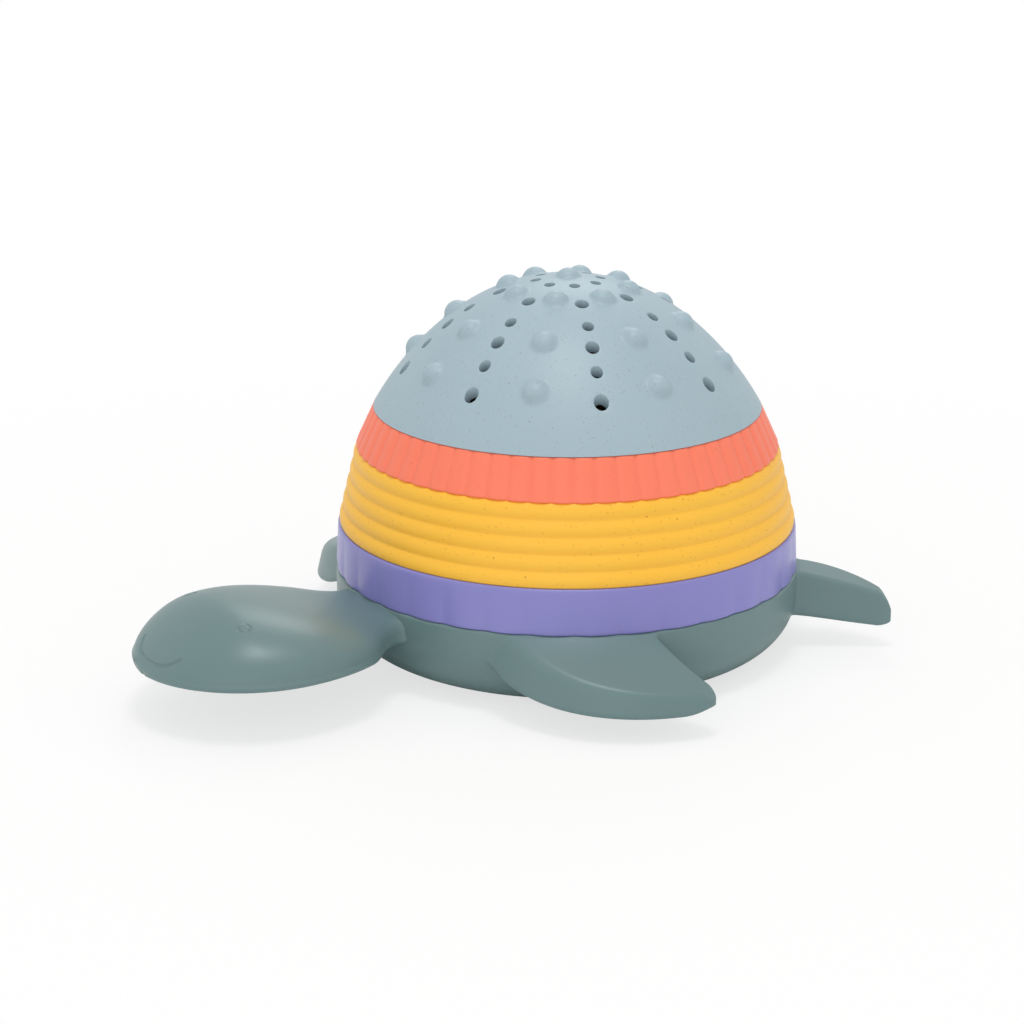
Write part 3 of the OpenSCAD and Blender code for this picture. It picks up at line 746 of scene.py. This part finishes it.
faceX = -face["reach"] * mm
near = {v for v in bm.verts if v.co.x < faceX and min(lineDistances(v.co)) < face["fineZone"] * mm}
coarse = [e for e in bm.edges if near.issuperset(e.verts) and e.calc_length() > face["fineEdge"] * mm]
bmesh.ops.subdivide_edges(bm, edges=coarse, cuts=face["lineCuts"], use_grid_fill=True)
manySided = [f for f in bm.faces if len(f.verts) > 4 and f.calc_center_median().x < faceX]
bmesh.ops.triangulate(bm, faces=manySided)
bm.normal_update()
pressed = []
for v in bm.verts:
    if v.co.x < faceX:
        for kind, d in zip(("smile", "eye"), lineDistances(v.co)):
            d /= face[kind + "Line"] / 2 * mm
            if d < 1:
                pressed.append((v, v.normal * face[kind + "Depth"] * mm * (1 - d * d)))
for v, push in pressed:
    v.co -= push
newPiece(bm, "greyGreenTurtleBase", basePlastic, "base", "turtle_base", bowl["sharpAngle"])

# Floor and studio light, in metres
floorSettings = {"half": 6.0, "colour": "F7F7F6", "whiteShare": 0.7, "nearEdge": 0.13, "farEdge": 0.38}
studio = {"skyLevel": 0.72, "aim": (0, 0, 0.04)}
floorMesh = bmesh.new()
bmesh.ops.create_grid(floorMesh, x_segments=2, y_segments=2, size=floorSettings["half"])
floorData = bpy.data.meshes.new("paleFloor")
floorMesh.to_mesh(floorData)
floorMesh.free()
floor = bpy.data.objects.new("paleFloor", floorData)
scene.collection.objects.link(floor)
paper = bpy.data.materials.new("matteStudioPaper")  # seamless paper, no gloss
paper.use_nodes = True
tree = paper.node_tree
tree.nodes.clear()
rays = addNode(tree, "ShaderNodeLightPath")
sheet = addNode(tree, "ShaderNodeBsdfDiffuse", Color=hexColour(floorSettings["colour"]))
white = addNode(tree, "ShaderNodeEmission", Color=(1, 1, 1, 1), Strength=1.0)
blend = addNode(tree, "ShaderNodeMixShader", [(1, sheet.outputs["BSDF"]), (2, white.outputs["Emission"])])
spot = addNode(tree, "ShaderNodeTexCoord").outputs["Object"]
away = addNode(tree, "ShaderNodeVectorMath", [(0, spot)], operation="LENGTH")
# the paper burns out to white away from the toy and keeps the shadow near it
burn = addNode(tree, "ShaderNodeMapRange", [("Value", away.outputs["Value"])],
               interpolation_type="SMOOTHSTEP", From_Min=floorSettings["nearEdge"],
               From_Max=floorSettings["farEdge"], To_Min=floorSettings["whiteShare"], To_Max=1.0)
share = addNode(tree, "ShaderNodeMath", [(0, rays.outputs["Is Camera Ray"]), (1, burn.outputs["Result"])],
                operation="MULTIPLY")
tree.links.new(share.outputs["Value"], blend.inputs[0])
addNode(tree, "ShaderNodeOutputMaterial", [("Surface", blend.outputs["Shader"])])
floorData.materials.append(paper)

world = bpy.data.worlds.new("paleStudio")
scene.world = world
world.use_nodes = True
tree = world.node_tree
tree.nodes.clear()
rays = addNode(tree, "ShaderNodeLightPath")
level = addNode(tree, "ShaderNodeMapRange", [("Value", rays.outputs["Is Camera Ray"])],
                To_Min=studio["skyLevel"], To_Max=1.0)
sky = addNode(tree, "ShaderNodeBackground", [("Strength", level.outputs["Result"])], Color=(1, 1, 1, 1))
addNode(tree, "ShaderNodeOutputWorld", [("Surface", sky.outputs["Background"])])

lamps = {
    "topSoftbox": {"at": (-0.1, -0.15, 1.05), "size": 0.3, "watts": 3.0},
    "frontSoftbox": {"at": (-0.75, -0.75, 0.35), "size": 0.9, "watts": 1.05},
    "rearSoftbox": {"at": (0.55, 0.7, 0.75), "size": 0.4, "watts": 1.4},
}
for name, lamp in lamps.items():
    data = bpy.data.lights.new(name, "AREA")
    data.energy = lamp["watts"]
    data.size = lamp["size"]
    light = bpy.data.objects.new(name, data)
    scene.collection.objects.link(light)
    light.location = lamp["at"]
    beam = Vector(studio["aim"]) - Vector(lamp["at"])
    light.rotation_euler = beam.to_track_quat("-Z", "Y").to_euler()
print("floor and light ready")

# Camera at the photograph's view
view = {
    "at": (-0.3457, -0.5173, 0.2282), "down": 17.5, "turn": -32.5, "lens": 91.97, "sensor": 36,
    "clipStart": 0.01,
}
lensData = bpy.data.cameras.new("productCamera")
lensData.lens = view["lens"]
lensData.sensor_width = view["sensor"]
lensData.clip_start = view["clipStart"]
camera = bpy.data.objects.new("productCamera", lensData)
scene.collection.objects.link(camera)
camera.location = view["at"]
camera.rotation_euler = (math.radians(90 - view["down"]), 0, math.radians(view["turn"]))
scene.camera = camera
scene.view_settings.view_transform = "Standard"

print("scene ready")
